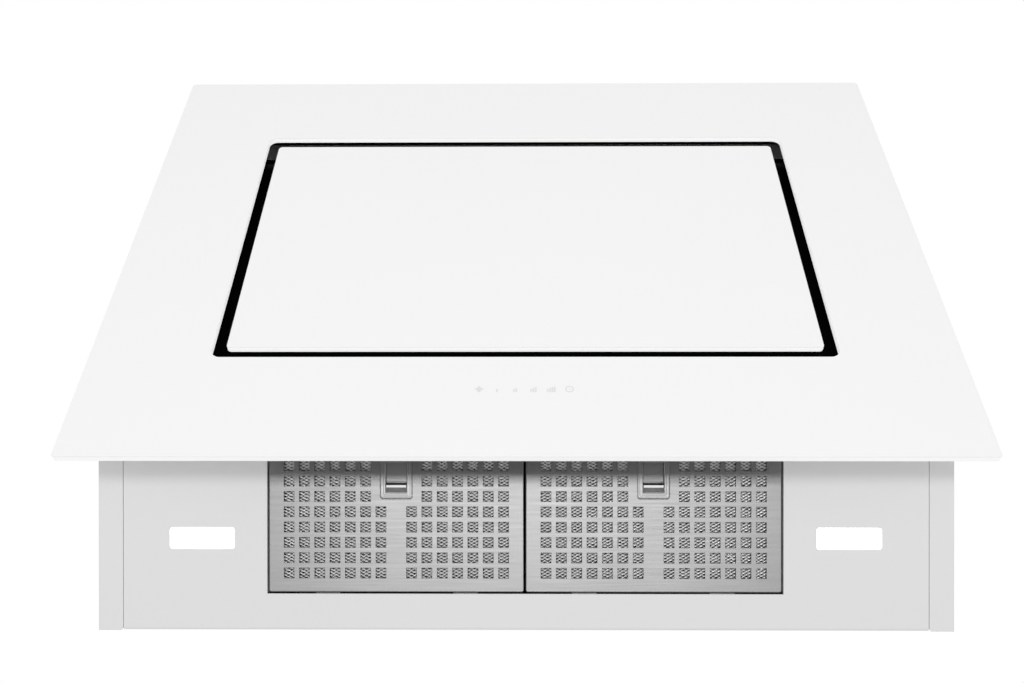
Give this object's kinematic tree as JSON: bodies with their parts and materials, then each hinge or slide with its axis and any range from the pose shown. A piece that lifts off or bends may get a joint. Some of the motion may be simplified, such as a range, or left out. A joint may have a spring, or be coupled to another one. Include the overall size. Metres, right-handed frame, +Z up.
{
  "type": "angled range hood",
  "caption": "Wall-hung range hood with a leaning glass front, a hinged centre panel ringed by an intake slot, perforated grease filters and lamps underneath, and a round duct collar.",
  "frame": {"origin": "on the wall plane, mid-width, at the centre of the four bolt holes of the wall brackets", "axes": "+X along the wall, to the right for someone who faces the hood; +Y into the wall; +Z up"},
  "size_m": [0.598, 0.4197, 0.3439],
  "materials": {
    "white_glass": "back-painted white, polished",
    "black_enamel": "matte black enamel",
    "light_grey_enamel": "light grey enamel, satin",
    "galvanised_steel": "galvanised, dull",
    "filter_aluminium": "brushed sheet",
    "filter_mesh_aluminium": "expanded mesh",
    "grey_plastic": "fine grain",
    "diffuser": "opal diffuser",
    "white_plastic": "fine grain",
    "black_plastic": "fine grain",
    "green_board": "solder resist",
    "foam": "foam",
    "black_rubber": "matte",
    "spring_steel": "bright wire",
    "magnet": "coated ferrite",
    "winding": "lacquered copper winding on laminations",
    "machined_steel": "turned",
    "zinc_screws": "bright zinc"
  },
  "bodies": {
    "casing": {"left_side_panel": "light_grey_enamel", "right_side_panel": "light_grey_enamel", "underside_panel": "light_grey_enamel", "back_panel": "galvanised_steel", "top_panel": "light_grey_enamel", "wall_brackets": "galvanised_steel", "front_frame": "black_enamel", "frame_bonding_tape": "foam", "front_glass": "white_glass", "hinge_brackets": "black_enamel", "catch_magnets": "magnet", "catch_brackets": "black_enamel", "inner_baffle": "black_enamel", "front_filter_frame": "filter_aluminium", "front_filter_mesh": "filter_mesh_aluminium", "front_latch_cup": "grey_plastic", "front_latch_spring": "spring_steel", "lamp_lenses": "diffuser", "lamp_housings": "white_plastic", "lamp_boards": "green_board", "touch_board": "green_board", "touch_board_cover": "black_plastic", "scroll_motor_side": "black_plastic", "scroll_inlet_side": "black_plastic", "inlet_grille": "black_plastic", "motor_housing": "galvanised_steel", "motor_stator": "winding", "motor_grommets": "black_rubber", "outlet_gasket": "foam", "outlet_collar": "black_plastic", "control_box_base": "white_plastic", "control_box_cover": "white_plastic", "power_board": "green_board", "motor_capacitor": "white_plastic", "capacitor_clip": "black_plastic", "cable_gland": "black_plastic", "casing_screws": "zinc_screws", "collar_screws": "zinc_screws", "motor_screws": "zinc_screws"},
    "centre_panel": {"centre_panel_glass": "white_glass", "panel_bonding_tape": "foam", "panel_carrier": "black_enamel", "hinge_pins": "black_enamel"},
    "fan": {"impeller": "black_plastic", "motor_rotor": "machined_steel"},
    "front_flap": {"front_flap": "black_plastic"},
    "rear_flap": {"rear_flap": "black_plastic"},
    "left_filter": {"left_filter_face": "filter_aluminium", "left_filter_mesh": "filter_mesh_aluminium", "left_filter_back": "filter_aluminium", "left_latch_cup": "grey_plastic", "left_latch_spring": "spring_steel"},
    "right_filter": {"right_filter_face": "filter_aluminium", "right_filter_mesh": "filter_mesh_aluminium", "right_filter_back": "filter_aluminium", "right_latch_cup": "grey_plastic", "right_latch_spring": "spring_steel"},
    "left_latch": {"left_latch_slider": "grey_plastic"},
    "right_latch": {"right_latch_slider": "grey_plastic"},
    "front_latch": {"front_latch_slider": "grey_plastic"}
  },
  "joints": [
    {"name": "centre_panel_swing", "type": "hinge", "parent": "casing", "child": "centre_panel", "pos_m": [0, -0.33376, -0.01637], "axis": [-1, 0, 0], "range_deg": [0, 90]},
    {"name": "fan_spin", "type": "hinge", "parent": "casing", "child": "fan", "pos_m": [0, -0.095, -0.05498], "axis": [1, 0, 0], "continuous": true},
    {"name": "front_flap_swing", "type": "hinge", "parent": "casing", "child": "front_flap", "pos_m": [0, -0.155, 0.0636], "axis": [-1, 0, 0], "range_deg": [0, 80]},
    {"name": "rear_flap_swing", "type": "hinge", "parent": "casing", "child": "rear_flap", "pos_m": [0, -0.149, 0.0636], "axis": [1, 0, 0], "range_deg": [0, 80]},
    {"name": "left_filter_tilt", "type": "hinge", "parent": "casing", "child": "left_filter", "pos_m": [-0.0838, -0.0246, -0.2241], "axis": [1, 0, 0], "range_deg": [0, 60]},
    {"name": "right_filter_tilt", "type": "hinge", "parent": "casing", "child": "right_filter", "pos_m": [0.0838, -0.0246, -0.2241], "axis": [1, 0, 0], "range_deg": [0, 60]},
    {"name": "left_latch_slide", "type": "slide", "parent": "left_filter", "child": "left_latch", "axis": [0, 1, 0], "range_m": [0, 0.003], "stiffness_N_per_m": 300, "springref_m": -0.003, "deforming": ["left_latch_spring"]},
    {"name": "right_latch_slide", "type": "slide", "parent": "right_filter", "child": "right_latch", "axis": [0, 1, 0], "range_m": [0, 0.003], "stiffness_N_per_m": 300, "springref_m": -0.003, "deforming": ["right_latch_spring"]},
    {"name": "front_latch_slide", "type": "slide", "parent": "casing", "child": "front_latch", "axis": [0, 0.7071, -0.7071], "range_m": [0, 0.003], "stiffness_N_per_m": 300, "springref_m": -0.003, "deforming": ["front_latch_spring"]}
  ]
}
